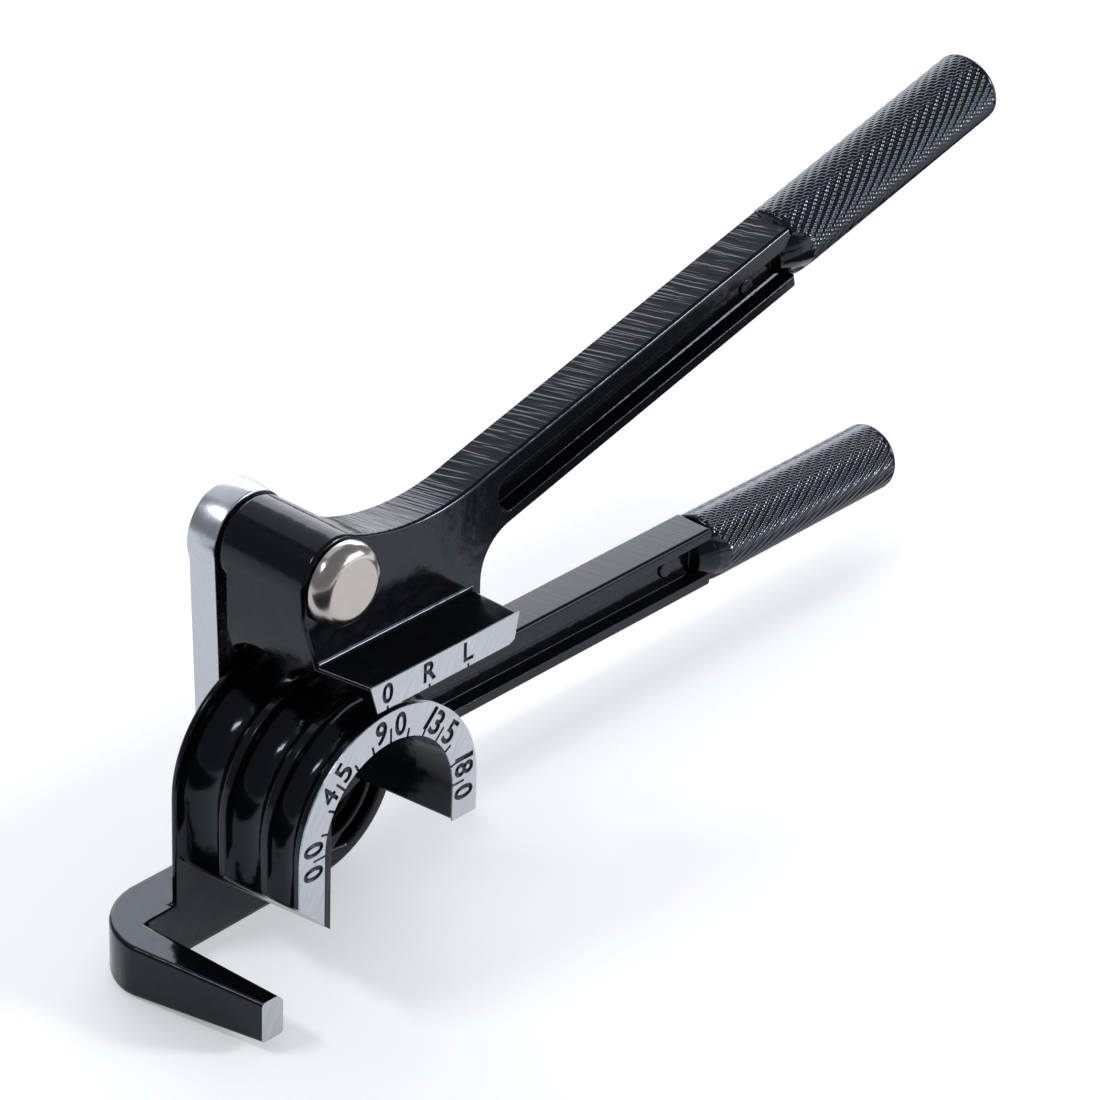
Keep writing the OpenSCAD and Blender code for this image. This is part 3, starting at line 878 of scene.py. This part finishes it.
# The eye sees even, nearly white paper with the tool's soft shadow on it.
paper, tree, shader = new_material("matt_white_paper", "#e8e8e8", 0.0, 0.9)
shader.inputs["Specular IOR Level"].default_value = 0.0
path = add_node(tree, "ShaderNodeLightPath")
seen = add_node(tree, "ShaderNodeMath", {
    0: path.outputs["Is Camera Ray"], 1: path.outputs["Is Glossy Ray"]}, operation="MAXIMUM")
seen_all = add_node(tree, "ShaderNodeMath", {
    0: seen.outputs[0], 1: path.outputs["Is Transmission Ray"]}, operation="MAXIMUM")
glow = add_node(tree, "ShaderNodeMath", {
    0: seen_all.outputs[0], 1: FLOOR_GLOW}, operation="MULTIPLY")
shader.inputs["Emission Color"].default_value = (1, 1, 1, 1)
tree.links.new(glow.outputs[0], shader.inputs["Emission Strength"])
floor = bm_object(bm, "studio_floor", [paper])
print("the floor lies at z =", round(FLOOR_Z / MM, 2), "mm")

# %% [markdown]
# ## Cards that paint dark reflections
# Gloss enamel shows what stands round it, and in a white room its upright fronts
# would turn grey. A studio lays black cards beside the object for that; here two
# painted dark reflections lie on the floor, square to the camera and just out of the
# picture. Only reflections see them, so they cast no shadow and take no light from the floor.

# %% Cards for painted dark reflections, in front of the tool and at its right
CARD_TURN = math.radians(-48.5)
CARD_LIFT = 1 * MM
# The eye sees it only as painted dark reflections in the enamel's fronts.
dark_reflection_black = new_material("painted_dark_reflection_card", "#1c1c1e", 0.0, 0.9)[0]


def painted_dark_reflection_card(name, rightward, ahead):
    """A card on the floor that only paints dark reflections; its edges are given to the right
    and ahead of the camera's view.
    """
    bm = bmesh.new()
    bmesh.ops.create_grid(bm, x_segments=1, y_segments=1, size=0.5)
    size = (rightward[1] - rightward[0], ahead[1] - ahead[0], 1)
    middle = (sum(rightward) / 2, sum(ahead) / 2, FLOOR_Z + CARD_LIFT)
    bmesh.ops.scale(bm, vec=size, verts=bm.verts)
    bmesh.ops.translate(bm, vec=middle, verts=bm.verts)
    turned = Matrix.Rotation(CARD_TURN, 3, "Z")
    bmesh.ops.rotate(bm, cent=(0, 0, 0), matrix=turned, verts=bm.verts)
    card = bm_object(bm, name, [dark_reflection_black])
    # Seen by reflections alone, so the card is a painted dark reflection and not a real card.
    card.visible_camera = False
    card.visible_diffuse = False
    card.visible_shadow = False
    print(name, "measures", round(size[0], 3), "by", round(size[1], 3), "m")


painted_dark_reflection_card("front_dark_reflection_card", (-0.3, 0.3), (-0.66, -0.06))
painted_dark_reflection_card("right_dark_reflection_card", (0.122, 0.235), (0.04, 0.4))

# %% [markdown]
# ## Light
# Five soft lamps and a dim white room light the tool. The broad one behind it gives
# the upper faces their sheen, with some help from above. The narrow one at the left
# is for glints in the grooves. At the right a small one makes the knurl sparkle, and
# a low broad one stands for a pale wall in the grips and the front edges.

# %% Lamps and room
LAMP_WHITE = hex_linear("#f4f8ff")[:3]
LAMP_AIM = Vector((0.06, 0.02, 0.02))


def softbox(name, place, size, watts):
    """A rectangular lamp that faces the tool."""
    lamp = bpy.data.lights.new(name, "AREA")
    lamp.shape = "RECTANGLE"
    lamp.size, lamp.size_y = size
    lamp.energy = watts
    lamp.color = LAMP_WHITE
    obj = add_object(name, lamp)
    obj.location = place
    obj.rotation_euler = (LAMP_AIM - obj.location).to_track_quat("-Z", "Y").to_euler()
    print(name, "gives", watts, "W")


softbox("back_softbox", (0.85, 0.8, 0.5), (1.7, 0.75), 13)
softbox("top_softbox", (0.25, 0.7, 0.95), (0.9, 0.8), 1.4)
softbox("left_softbox", (-0.6, 0.38, 0.84), (0.36, 0.1), 3.4)
softbox("right_softbox", (0.64, -0.8, 0.4), (0.2, 0.2), 6.5)
softbox("right_wall", (0.85, -0.95, 0.36), (1.0, 0.4), 4.5)
world = bpy.data.worlds.new("studio")
bpy.context.scene.world = world
world.use_nodes = True
room_light = world.node_tree.nodes["Background"]
room_light.inputs["Color"].default_value = hex_linear("#f2f5fc")
room_light.inputs["Strength"].default_value = 0.3

# %% [markdown]
# ## Camera
# The camera stands where the photograph was taken from, with a long lens. Its turn
# round the tool, its height, its slight roll and its distance were worked out from
# the photograph's outlines, so they are numbers here and not set by eye.

# %% Camera
AZIMUTH = math.radians(-48.466)
ELEVATION = math.radians(29.711)
ROLL = math.radians(1.945)
DISTANCE = 840 * MM
OFF_RIGHT = 26.54 * MM
OFF_UP = 44.77 * MM
back = Vector((math.sin(AZIMUTH) * math.cos(ELEVATION),
               -math.cos(AZIMUTH) * math.cos(ELEVATION),
               math.sin(ELEVATION)))
level = Vector((math.cos(AZIMUTH), math.sin(AZIMUTH), 0))
right = level * math.cos(ROLL) + back.cross(level) * math.sin(ROLL)
up = back.cross(right)
lens = bpy.data.cameras.new("photo_camera")
lens.lens = 166.1
lens.sensor_width = 36
lens.clip_start, lens.clip_end = 0.01, 50
camera = add_object("photo_camera", lens)
camera.matrix_world = Matrix((right, up, back)).transposed().to_4x4()
camera.location = right * OFF_RIGHT + up * OFF_UP + back * DISTANCE
bpy.context.scene.camera = camera
bpy.context.scene.view_settings.view_transform = "Standard"
print("the camera stands at", [round(c, 3) for c in camera.location], "m")
